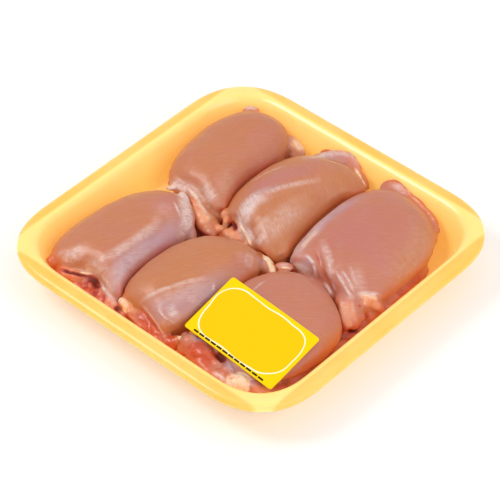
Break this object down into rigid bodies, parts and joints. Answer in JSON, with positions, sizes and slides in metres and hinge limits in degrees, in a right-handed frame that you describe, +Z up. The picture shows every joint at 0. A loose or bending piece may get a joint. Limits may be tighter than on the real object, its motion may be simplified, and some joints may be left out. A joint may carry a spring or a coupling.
{
  "type": "meat tray pack",
  "caption": "Square yellow foam tray with a rolled rim, filled with plump folded raw thighs under a tilted plain label.",
  "frame": {"origin": "centre of the tray's flat underside", "axes": "+Z up out of the tray, +X along a row of three thighs, -Y towards the side where the label lies"},
  "size_m": [0.24, 0.24, 0.0366],
  "materials": {
    "foam": "smooth satin skin of expanded foam",
    "meat": "moist raw meat with pale fat and silvery membrane",
    "label": "smooth coated paper"
  },
  "bodies": {
    "root": {"tray": "foam", "thigh_front_left": "meat", "thigh_back_left": "meat", "thigh_front_middle": "meat", "thigh_back_middle": "meat", "thigh_front_right": "meat", "thigh_back_right": "meat", "label": "label"}
  },
  "joints": []
}
